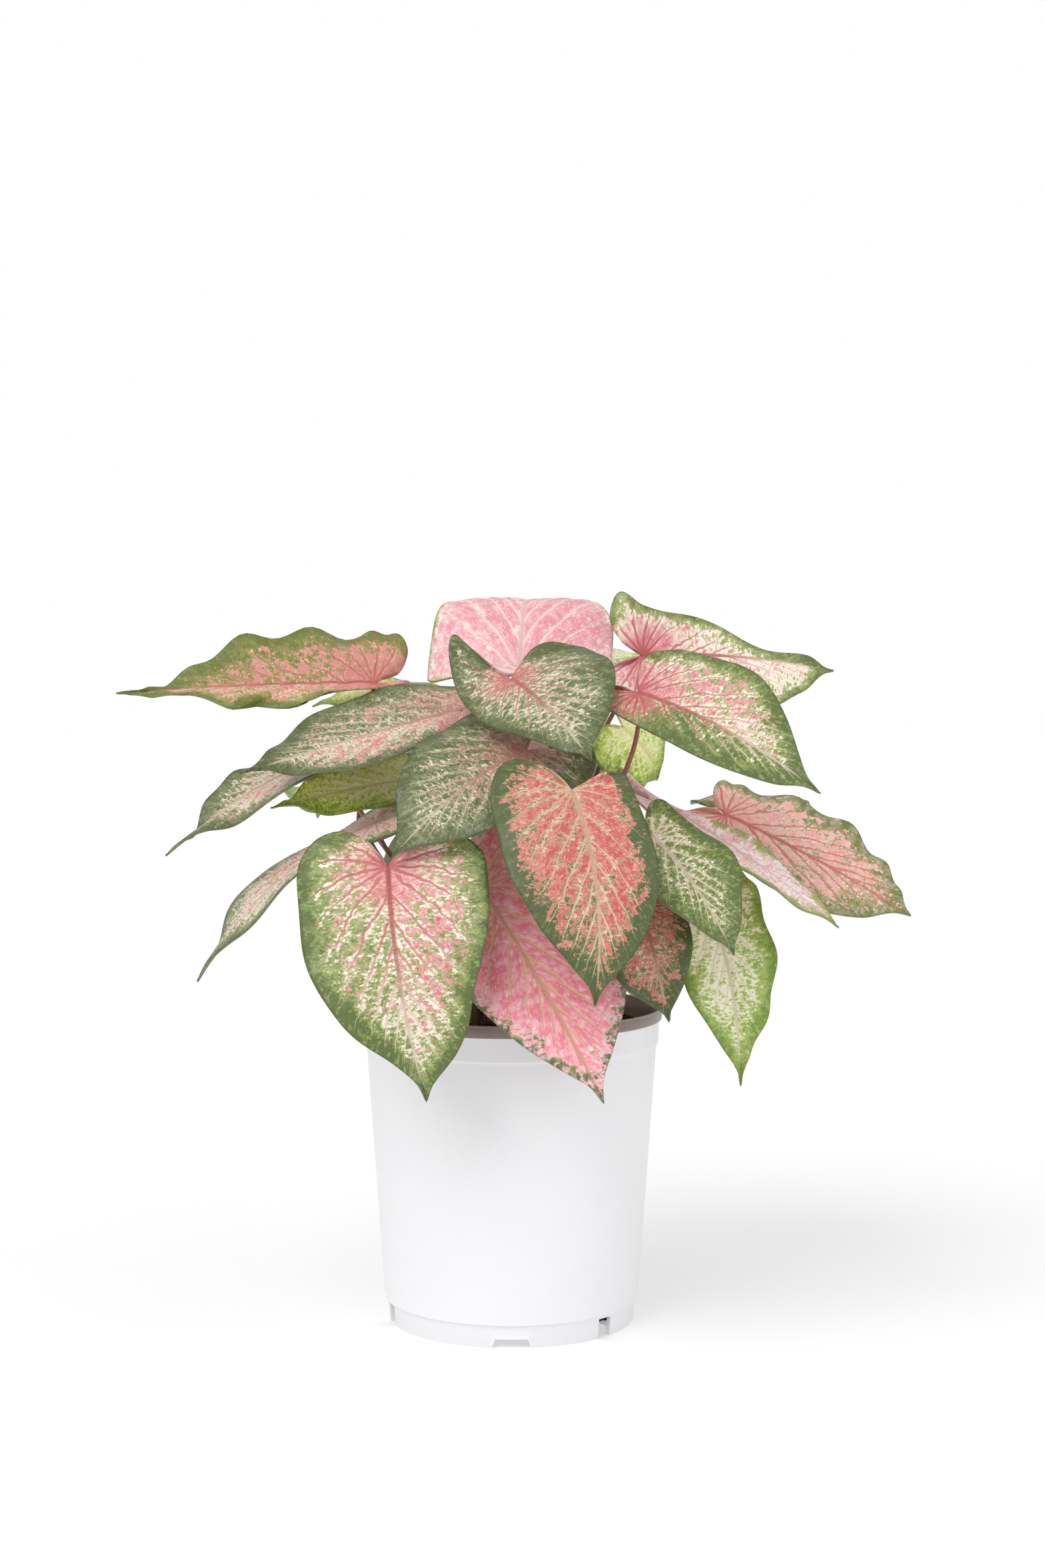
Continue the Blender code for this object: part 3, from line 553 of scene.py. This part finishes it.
def make_blade(name, leaf):
    """The blade as a closed thin sheet with its flat map in attributes."""
    surface, flat, up = blade_surface(name[-2:], leaf, BLADE_ROWS, BLADE_COLUMNS)
    bpy.ops.object.select_all(action="DESELECT")
    bpy.ops.mesh.primitive_grid_add(x_subdivisions=2 * BLADE_COLUMNS, y_subdivisions=BLADE_ROWS, size=2)
    blade = bpy.context.active_object
    blade.name = blade.data.name = name
    mesh = blade.data
    where = np.array([v.co for v in mesh.vertices])
    column = np.rint((where[:, 0] + 1) * BLADE_COLUMNS).astype(int)
    row = np.rint((1 - where[:, 1]) * BLADE_ROWS / 2).astype(int)
    mesh.vertices.foreach_set("co", (surface[row, column] * MM).astype(np.float32).ravel())
    chosen = flat[row, column]
    paint_guide(mesh, "leaf_place", chosen[:, (0, 1, 5)])
    paint_guide(mesh, "leaf_veins", chosen[:, 2:5])
    only(blade)
    bpy.ops.object.mode_set(mode="EDIT")
    bpy.ops.mesh.select_all(action="SELECT")
    bpy.ops.mesh.remove_doubles(threshold=0.004 * MM)
    bpy.ops.mesh.normals_make_consistent(inside=False)
    bpy.ops.object.mode_set(mode="OBJECT")
    if sum((face.normal * face.area for face in mesh.polygons), Vector()).dot(up) < 0:
        mesh.flip_normals()
    sheet = len(mesh.vertices)
    upwards = mesh.vertices[sheet // 3].normal.copy()
    step = blade.modifiers.new("thickness", "SOLIDIFY")
    step.thickness = BLADE_THICKNESS * MM
    step.offset = 0
    apply_modifiers(blade)
    across = mesh.vertices[sheet // 3].co - mesh.vertices[sheet // 3 + sheet].co
    upper_first = across.dot(upwards) > 0
    is_under = (np.arange(len(mesh.vertices)) >= sheet) == upper_first
    paint_guide(mesh, "leaf_underside", is_under)
    bpy.ops.object.shade_smooth()
    return blade


# Variegated leaf surface, as one group that every blade's material uses with its own paints.
# Scales are in cells to the millimetre of the flat blade, lengths in millimetres.
FLECK_SCALE = 0.95
MOTTLE_SCALE = 0.26
BLOTCH_SCALE = 0.07
NET_SCALE = 0.42
PATCH_SCALE = 0.30
MARGIN_BAND = 14.0
RIM_PAINT = (92, 84, 56)
UNDERSIDE_PAINT = (178, 184, 152)
PAINT_INPUTS = ("Cream", "Light Green", "Dark Green", "Pink", "Red", "Vein")
AMOUNT_INPUTS = (
    "Left Green", "Right Green", "Left Pink", "Right Pink",
    "Margin", "Redness", "Net", "Cell Highlight", "Vein Width", "Seed",
)
leaf_pattern = bpy.data.node_groups.new("leaf pattern", "ShaderNodeTree")
for key in PAINT_INPUTS + AMOUNT_INPUTS:
    kind = "NodeSocketColor" if key in PAINT_INPUTS else "NodeSocketFloat"
    leaf_pattern.interface.new_socket(name=key, in_out="INPUT", socket_type=kind)
for key, kind in (("Color", "Color"), ("Roughness", "Float"), ("Height", "Float")):
    leaf_pattern.interface.new_socket(name=key, in_out="OUTPUT", socket_type="NodeSocket" + kind)
tree = leaf_pattern
given = node(tree, "NodeGroupInput").outputs


def times(*values):
    total = values[0]
    for value in values[1:]:
        total = calc(tree, "MULTIPLY", total, value)
    return total


def weighted(*terms):
    """The sum of (weight, value) pairs."""
    total = 0.0
    for weight, value in terms:
        total = calc(tree, "MULTIPLY_ADD", value, weight, total)
    return total


def under_one(value, low, high):
    """1 where the value is under low, 0 where it is over high."""
    return calc(tree, "SUBTRACT", 1.0, fade(tree, value, low, high))


def by_side(key):
    """The group's left and right amounts, each on its half of the blade."""
    left, right = given["Left " + key], given["Right " + key]
    return calc(tree, "MULTIPLY_ADD", on_right, calc(tree, "SUBTRACT", right, left), left)


flat_place = node(tree, "ShaderNodeAttribute", attribute_name="leaf_place").outputs["Vector"]
x, y, reach = node(tree, "ShaderNodeSeparateXYZ", {0: flat_place}).outputs
veins = node(tree, "ShaderNodeAttribute", attribute_name="leaf_veins").outputs["Vector"]
number, gap, margin = node(tree, "ShaderNodeSeparateXYZ", {0: veins}).outputs
# Distance from the margin, counted as large round the notch, which keeps the colours of the middle.
edge = calc(tree, "MULTIPLY_ADD", under_one(reach, 0.08, 0.24), 18.0, margin)
under = node(tree, "ShaderNodeAttribute", attribute_name="leaf_underside").outputs["Fac"]
on_right = fade(tree, x, -0.8, 0.8)
from_rib = calc(tree, "ABSOLUTE", x)
far = calc(tree, "SQRT", weighted((x, x), (y, y)))
seed = given["Seed"]
aside = calc(tree, "ADD", x, times(seed, 17.3))
place = node(tree, "ShaderNodeCombineXYZ", {0: aside, 1: y, 2: seed}).outputs[0]
# The same place with across-vein and along-vein distances, for streaks that run with the veins.
beside = calc(tree, "MULTIPLY_ADD", on_right, 40.0, number)
run = node(tree, "ShaderNodeCombineXYZ", {0: beside, 1: times(far, 0.16), 2: seed}).outputs[0]
streaky = node(tree, "ShaderNodeMapping", {"Vector": run, "Scale": (3.6, 1.0, 1.0)}).outputs[0]
outwards = node(tree, "ShaderNodeMapping", {"Vector": place, "Scale": (0.55, 1.0, 1.0)}).outputs[0]
fleck = grain(tree, outwards, FLECK_SCALE, 5.0, 2.8, 0.74)
mottle = grain(tree, place, MOTTLE_SCALE, 3.0, 2.4)
blotch = grain(tree, place, BLOTCH_SCALE, 2.0, 2.6)
feather = grain(tree, streaky, 1.0, 4.0, 2.4, 0.66)

# Veins: side veins where the running number is whole, and the midrib, both thinner to their ends.
bend = weighted((0.34, grain(tree, place, 0.10, 2.0)), (0.12, mottle), (1.0, -0.23))
wavering = calc(tree, "ADD", number, bend)
off_vein = calc(tree, "ABSOLUTE", calc(tree, "SUBTRACT", wavering, calc(tree, "ROUND", wavering)))
from_vein = times(off_vein, gap)
half_vein = calc(tree, "MULTIPLY_ADD", fade(tree, edge, 2.0, 18.0), given["Vein Width"], 0.10)
side_vein = under_one(calc(tree, "DIVIDE", from_vein, half_vein), 0.6, 1.9)
half_rib = calc(tree, "MULTIPLY_ADD", calc(tree, "SUBTRACT", 1.0, reach), 0.60, 0.32)
rib = under_one(calc(tree, "DIVIDE", from_rib, half_rib), 0.6, 1.7)
rib = times(rib, fade(tree, y, -0.5, 1.0), fade(tree, edge, 0.6, 4.0))
broken = times(side_vein, fade(tree, weighted((0.6, fleck), (0.07, edge)), 0.30, 0.85))
vein = calc(tree, "MAXIMUM", broken, rib)
off_lines = calc(tree, "MINIMUM", from_vein, times(from_rib, 0.8))
halo = under_one(weighted((1.0, off_lines), (2.8, fleck), (1.0, -1.4)), 0.1, 2.2)
halo = times(halo, fade(tree, edge, 1.5, 9.0))
inward = under_one(edge, 0.0, MARGIN_BAND)

# Green over the cream: flecks that close up towards the margin, light where thin and dark where
# thick, with light chips, and parted by pale feathered lines along the veins and by a pale net.
lines = calc(tree, "SUBTRACT", grain(tree, outwards, NET_SCALE, 3.0, 1.0, 0.6), 0.5)
net = times(under_one(calc(tree, "ABSOLUTE", lines), 0.0, 0.06), given["Net"])
ragged = weighted((1.0, edge), (4.0, mottle), (2.0, fleck), (1.0, -3.0))
width = times(given["Margin"], weighted((2.5, blotch), (1.0, -0.20)))
solid = under_one(calc(tree, "SUBTRACT", ragged, width), -2.2, 3.0)
cover = weighted(
    (0.56, fleck), (0.18, mottle), (0.16, blotch), (0.20, feather), (0.12, inward), (0.17, reach),
    (-0.26, halo), (-0.32, net), (0.42, solid), (1.0, by_side("Green")), (1.0, -1.14),
)
chips = fade(tree, weighted((0.55, feather), (0.45, fleck)), 0.50, 0.72)
thick = times(fade(tree, cover, 0.02, 0.46), weighted((-0.65, chips), (1.0, 1.0)))
greens = blend(tree, thick, given["Light Green"], given["Dark Green"])
colour = blend(tree, fade(tree, cover, -0.03, 0.03), given["Cream"], greens)

# Pink: crisp patches between the veins, deeper in their middle, with pale lines and specks.
patch = grain(tree, place, PATCH_SCALE, 6.0, 3.0, 0.76)
flush = weighted(
    (0.52, patch), (0.34, feather), (0.22, fleck), (0.14, blotch), (-0.24, inward), (-0.36, solid),
    (-0.20, halo), (-0.14, net), (1.0, by_side("Pink")), (1.0, -1.02),
)
thick_pink = fade(tree, flush, 0.0, 0.42)
soft_pink = blend(tree, 0.32, given["Pink"], given["Cream"])
pinks = blend(tree, fade(tree, thick_pink, 0.0, 0.6), soft_pink, given["Pink"])
pinks = blend(tree, times(fade(tree, thick_pink, 0.6, 1.0), 0.35), pinks, given["Red"])
specks = fade(tree, grain(tree, streaky, 3.0, 4.0, 2.8, 0.7), 0.62, 0.80)
pinks = blend(tree, times(specks, 0.6), pinks, given["Cream"])
colour = blend(tree, fade(tree, flush, -0.02, 0.02), colour, pinks)
by_foot = under_one(weighted((1.0, reach), (0.24, feather), (1.0, -0.12)), 0.03, 0.26)
colour = blend(tree, times(by_foot, given["Redness"], 0.75), colour, given["Pink"])

# Quilting between the veins: small raised cells, with a painted highlight on top of each.
ladder = node(tree, "ShaderNodeMapping", {"Vector": run, "Scale": (2.4, 2.2, 1.0)}).outputs[0]
cells = node(tree, "ShaderNodeTexVoronoi", {"Vector": ladder, "Scale": 1.0}, feature="SMOOTH_F1")
raised = under_one(cells.outputs["Distance"], 0.15, 0.62)
# The painted highlight on the raised cells, mixed towards cream.
pale = times(raised, given["Cell Highlight"], weighted((0.9, fleck), (1.0, 0.1)))
colour = blend(tree, pale, colour, given["Cream"])

# Vein colour, the thin dark rim, the paler underside, and the relief of veins and cells.
vein_red = times(given["Redness"], under_one(reach, 0.25, 0.80))
vein_paint = blend(tree, vein_red, given["Vein"], given["Red"])
colour = blend(tree, times(vein, 0.8), colour, vein_paint)
rim = under_one(margin, 0.1, 0.5)
colour = blend(tree, times(rim, 0.35), colour, ink(*RIM_PAINT))
colour = blend(tree, times(under, 0.42), colour, ink(*UNDERSIDE_PAINT))
bumps = weighted((-0.7, vein), (0.40, raised), (0.10, fleck))
bumps = times(bumps, weighted((-2.0, under), (1.0, 1.0)))
sheen = weighted((0.12, blotch), (0.18, under), (1.0, 0.34))
node(tree, "NodeGroupOutput", {"Color": colour, "Roughness": sheen, "Height": bumps})

# Paints: cream, light green, dark green, pink, red and vein.
PAINTS = {
    "cream": (
        (240, 225, 211), (158, 170, 104), (90, 106, 52), (208, 102, 116), (180, 78, 76), (230, 216, 192),
    ),
    "grey": (
        (222, 208, 188), (140, 146, 102), (82, 92, 52), (206, 112, 116), (182, 80, 80), (216, 204, 174),
    ),
    "olive": (
        (228, 192, 168), (150, 152, 84), (104, 114, 50), (208, 120, 122), (190, 84, 86), (216, 150, 132),
    ),
    "lime": (
        (246, 250, 200), (218, 236, 116), (118, 150, 42), (236, 180, 140), (200, 120, 96), (246, 240, 170),
    ),
    "fresh": (
        (248, 244, 218), (184, 202, 112), (120, 150, 56), (230, 180, 156), (214, 140, 130), (242, 234, 200),
    ),
    "pink": (
        (254, 222, 226), (148, 152, 88), (84, 98, 50), (238, 142, 156), (204, 84, 106), (222, 176, 140),
    ),
    "rose": (
        (250, 232, 230), (176, 182, 112), (126, 138, 76), (226, 160, 166), (206, 100, 116), (244, 224, 212),
    ),
    "coral": (
        (222, 196, 166), (112, 120, 72), (76, 90, 48), (192, 90, 86), (176, 66, 70), (224, 202, 164),
    ),
    "salmon": (
        (250, 220, 212), (152, 156, 90), (108, 120, 58), (234, 164, 156), (206, 92, 88), (222, 124, 108),
    ),
}
# Paints; green and pink of the left and right half; margin in millimetres, redness of the veins,
# pale net, painted highlight on the quilting cells and half the width of the side veins in millimetres.
LOOKS = {
    "01": ("olive", (0.60, 0.88), (0.54, 0.44), 1.8, 0.9, 0.3, 0.0, 0.24),
    "02": ("grey", (0.66, 0.86), (0.50, 0.36), 1.2, 0.6, 0.8, 0.0, 0.14),
    "03": ("grey", (0.58, 0.66), (0.48, 0.40), 0.8, 0.5, 0.5, 0.0, 0.14),
    "04": ("lime", (0.72, 0.62), (0.20, 0.10), 0.8, 0.1, 0.8, 0.0, 0.16),
    "05": ("grey", (0.56, 0.56), (0.42, 0.42), 0.6, 0.7, 0.4, 0.0, 0.14),
    "06": ("cream", (0.74, 0.76), (0.44, 0.30), 2.0, 1.0, 0.5, 0.0, 0.26),
    "07": ("pink", (0.44, 0.40), (0.94, 0.92), 4.0, 0.0, 0.1, 0.75, 0.34),
    "08": ("coral", (0.90, 0.92), (0.68, 0.60), 2.6, 0.3, 0.6, 0.0, 0.18),
    "09": ("grey", (0.92, 0.94), (0.36, 0.32), 1.6, 0.7, 1.0, 0.0, 0.20),
    "10": ("rose", (0.28, 0.18), (0.78, 0.92), 0.4, 0.2, 0.2, 0.35, 0.34),
    "11": ("grey", (0.84, 0.80), (0.24, 0.24), 1.6, 0.9, 1.0, 0.0, 0.20),
    "12": ("cream", (0.50, 0.44), (0.42, 0.38), 0.9, 1.2, 0.4, 0.0, 0.22),
    "13": ("cream", (0.74, 0.94), (0.46, 0.24), 1.8, 1.0, 0.7, 0.0, 0.26),
    "14": ("rose", (0.34, 0.38), (0.64, 0.58), 0.8, 0.4, 0.3, 0.1, 0.20),
    "15": ("salmon", (0.84, 0.84), (0.58, 0.54), 1.6, 0.8, 0.3, 0.50, 0.28),
    "16": ("cream", (0.96, 0.94), (0.14, 0.18), 1.2, 0.1, 1.0, 0.0, 0.20),
    "17": ("fresh", (0.66, 0.60), (0.10, 0.10), 1.2, 0.1, 0.6, 0.0, 0.18),
    "18": ("coral", (0.84, 0.80), (0.60, 0.64), 1.4, 0.8, 0.3, 0.0, 0.20),
    "19": ("lime", (0.76, 0.76), (0.10, 0.10), 0.8, 0.1, 0.8, 0.0, 0.16),
    "20": ("fresh", (0.76, 0.76), (0.20, 0.20), 1.0, 0.3, 0.6, 0.0, 0.16),
    "21": ("lime", (0.74, 0.74), (0.20, 0.20), 0.8, 0.3, 0.7, 0.0, 0.16),
    "22": ("cream", (0.70, 0.64), (0.42, 0.52), 2.2, 0.9, 0.6, 0.0, 0.24),
    "23": ("pink", (0.34, 0.34), (1.04, 1.06), 2.4, 0.1, 0.2, 0.70, 0.36),
    "24": ("cream", (0.64, 0.68), (0.46, 0.40), 1.6, 0.9, 0.5, 0.0, 0.22),
    "25": ("fresh", (0.74, 0.70), (0.30, 0.28), 0.8, 0.4, 0.7, 0.0, 0.16),
    "26": ("coral", (0.88, 0.88), (0.68, 0.62), 2.6, 0.5, 0.5, 0.0, 0.20),
    "27": ("cream", (0.68, 0.72), (0.50, 0.42), 2.0, 1.0, 0.5, 0.0, 0.24),
}


def leaf_material(name, look, seed):
    paints, greens, pinks, *amounts = look
    made, tree, shader = new_material(name, 0.42)
    pattern = node(tree, "ShaderNodeGroup", node_tree=leaf_pattern)
    for key, paint in zip(PAINT_INPUTS, PAINTS[paints]):
        pattern.inputs[key].default_value = ink(*paint)
    for key, amount in zip(AMOUNT_INPUTS, (*greens, *pinks, *amounts, seed)):
        pattern.inputs[key].default_value = amount
    tree.links.new(pattern.outputs["Color"], shader.inputs["Base Color"])
    tree.links.new(pattern.outputs["Roughness"], shader.inputs["Roughness"])
    relief(tree, shader, pattern.outputs["Height"], 0.5, 0.0007)
    shader.inputs["Specular IOR Level"].default_value = 0.45
    shader.inputs["Subsurface Weight"].default_value = 0.15
    shader.inputs["Subsurface Radius"].default_value = (1.0, 0.7, 0.4)
    shader.inputs["Subsurface Scale"].default_value = 0.0012
    return made


for name, row in LEAVES.items():
    leaf = {**LEAF, **row}
    blade = make_blade("leaf_" + name, leaf)
    blade.data.materials.append(leaf_material("leaf " + name, LOOKS[name], float(int(name))))
    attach(blade, "root")
    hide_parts("blade_" + name)

# Leaf stalks.
# Smooth juicy stalks that rise from the soil, thin towards the blade and run into the back of its
# midrib. They are pinkish brown to green, with fine lengthwise streaks.
STALK_SWELL = 0.28
STALK_TIP = 1.75
TIP_DRAWN_IN = 0.9
TIP_FLARE = 0.45
# The light and the dark of each stalk colour.
STALK_PAINTS = {
    "brown": ((150, 98, 84), (92, 62, 50)),
    "tan": ((196, 142, 110), (150, 96, 78)),
    "green": ((120, 116, 72), (74, 66, 44)),
    "rose": ((188, 120, 112), (132, 74, 70)),
}
STALK_ORDER = ("brown", "tan", "rose", "green", "brown")


def stalk_material(name, light, dark):
    made, tree, shader = new_material(name, 0.38)
    place = node(tree, "ShaderNodeTexCoord").outputs["Object"]
    drawn = node(tree, "ShaderNodeMapping", {"Vector": place, "Scale": (900.0, 900.0, 45.0)}).outputs[0]
    streaks = grain(tree, drawn, 1.0, 3.0, 2.0)
    patches = grain(tree, place, 60.0, 2.0, 1.8)
    mottle = calc(tree, "MULTIPLY_ADD", streaks, 0.6, calc(tree, "MULTIPLY", patches, 0.4))
    tree.links.new(blend(tree, mottle, ink(*light), ink(*dark)), shader.inputs["Base Color"])
    relief(tree, shader, streaks, 0.25, 0.0004)
    shader.inputs["Subsurface Weight"].default_value = 0.1
    shader.inputs["Subsurface Radius"].default_value = (1.0, 0.5, 0.3)
    shader.inputs["Subsurface Scale"].default_value = 0.001
    return made


stalk_finishes = {key: stalk_material(key + " stalk", *paints) for key, paints in STALK_PAINTS.items()}
for count, (name, row) in enumerate(LEAVES.items()):
    cad = frame["nodes"]["stalk_" + name]
    stalk = bpy.data.objects.new("petiole_" + name, cad.data.copy())
    bpy.context.scene.collection.objects.link(stalk)
    end = Vector(row["at"]) * MM
    only(stalk)
    bpy.ops.object.mode_set(mode="EDIT")
    bpy.ops.mesh.select_all(action="SELECT")
    bpy.ops.mesh.remove_doubles(threshold=0.002 * MM)
    bpy.ops.mesh.tris_convert_to_quads(face_threshold=math.radians(60), shape_threshold=math.radians(60))
    bpy.ops.object.mode_set(mode="OBJECT")
    top = [v for v in stalk.data.vertices if (v.co - end).length < STALK_TIP * MM]
    middle = sum((v.co for v in top), Vector()) / len(top)
    for corner in top:
        corner.co = corner.co + (end - middle) * TIP_DRAWN_IN + (corner.co - middle) * TIP_FLARE
    step = stalk.modifiers.new("smooth", "SUBSURF")
    step.levels = step.render_levels = 2
    apply_modifiers(stalk)
    bpy.ops.object.mode_set(mode="EDIT")
    bpy.ops.mesh.select_all(action="SELECT")
    bpy.ops.mesh.normals_make_consistent(inside=False)
    bpy.ops.transform.shrink_fatten(value=-STALK_SWELL * MM)
    bpy.ops.object.mode_set(mode="OBJECT")
    bpy.ops.object.shade_smooth()
    stalk.data.materials.clear()
    stalk.data.materials.append(stalk_finishes[STALK_ORDER[count % len(STALK_ORDER)]])
    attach(stalk, "root")
    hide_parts("stalk_" + name)

# Studio.
# A plain pale floor under a white sky, soft lamps, and the camera level with the leaves, at the
# distance and height that the pot's rim and foot ellipses give.
FLOOR_SIZE = 40
FLOOR_PAINTS = ((206, 206, 207), (209, 209, 210))
FLOOR_GLOW = 0.36
SKY_LIGHT = 0.66
SKY_SEEN = 1.0
CAMERA_PLACE = (0, -0.863, 0.2315)
CAMERA_LENS = 52.09
CAMERA_SHIFT = (0.0070, -0.0501)
# Where each lamp stands, its strength, and its width in degrees.
SUNS = {"key": ((-0.55, -0.75, 1.0), 1.5, 40.0), "fill": ((0.8, -0.7, 0.6), 0.5, 60.0)}
bpy.ops.object.select_all(action="DESELECT")
bpy.ops.mesh.primitive_plane_add(size=FLOOR_SIZE)
floor = bpy.context.active_object
floor.name = "floor"
paper, tree, shader = new_material("floor paper", 0.7)
place = node(tree, "ShaderNodeTexCoord").outputs["Object"]
pale = blend(tree, grain(tree, place, 3.0), *(ink(*paint) for paint in FLOOR_PAINTS))
tree.links.new(pale, shader.inputs["Base Color"])
shader.inputs["Emission Color"].default_value = (1, 1, 1, 1)
shader.inputs["Emission Strength"].default_value = FLOOR_GLOW
shader.inputs["Specular IOR Level"].default_value = 0.1
floor.data.materials.append(paper)

sky = bpy.data.worlds.new("sky")
sky.use_nodes = True
tree = sky.node_tree
seen = node(tree, "ShaderNodeLightPath").outputs["Is Camera Ray"]
strength = calc(tree, "MULTIPLY_ADD", seen, SKY_SEEN - SKY_LIGHT, SKY_LIGHT)
tree.links.new(strength, tree.nodes["Background"].inputs["Strength"])
tree.nodes["Background"].inputs["Color"].default_value = (1, 1, 1, 1)
bpy.context.scene.world = sky
for name, (towards, strength, softness) in SUNS.items():
    light = bpy.data.lights.new(name, "SUN")
    light.energy = strength
    light.angle = math.radians(softness)
    lamp = bpy.data.objects.new(name, light)
    lamp.rotation_euler = (-Vector(towards)).to_track_quat("-Z", "Y").to_euler()
    bpy.context.scene.collection.objects.link(lamp)

camera = bpy.data.objects.new("camera", bpy.data.cameras.new("camera"))
camera.location = CAMERA_PLACE
camera.rotation_euler = (math.pi / 2, 0, 0)
camera.data.lens = CAMERA_LENS
camera.data.sensor_width = 36
camera.data.shift_x, camera.data.shift_y = CAMERA_SHIFT
bpy.context.scene.collection.objects.link(camera)
bpy.context.scene.camera = camera
bpy.context.scene.view_settings.view_transform = "Standard"
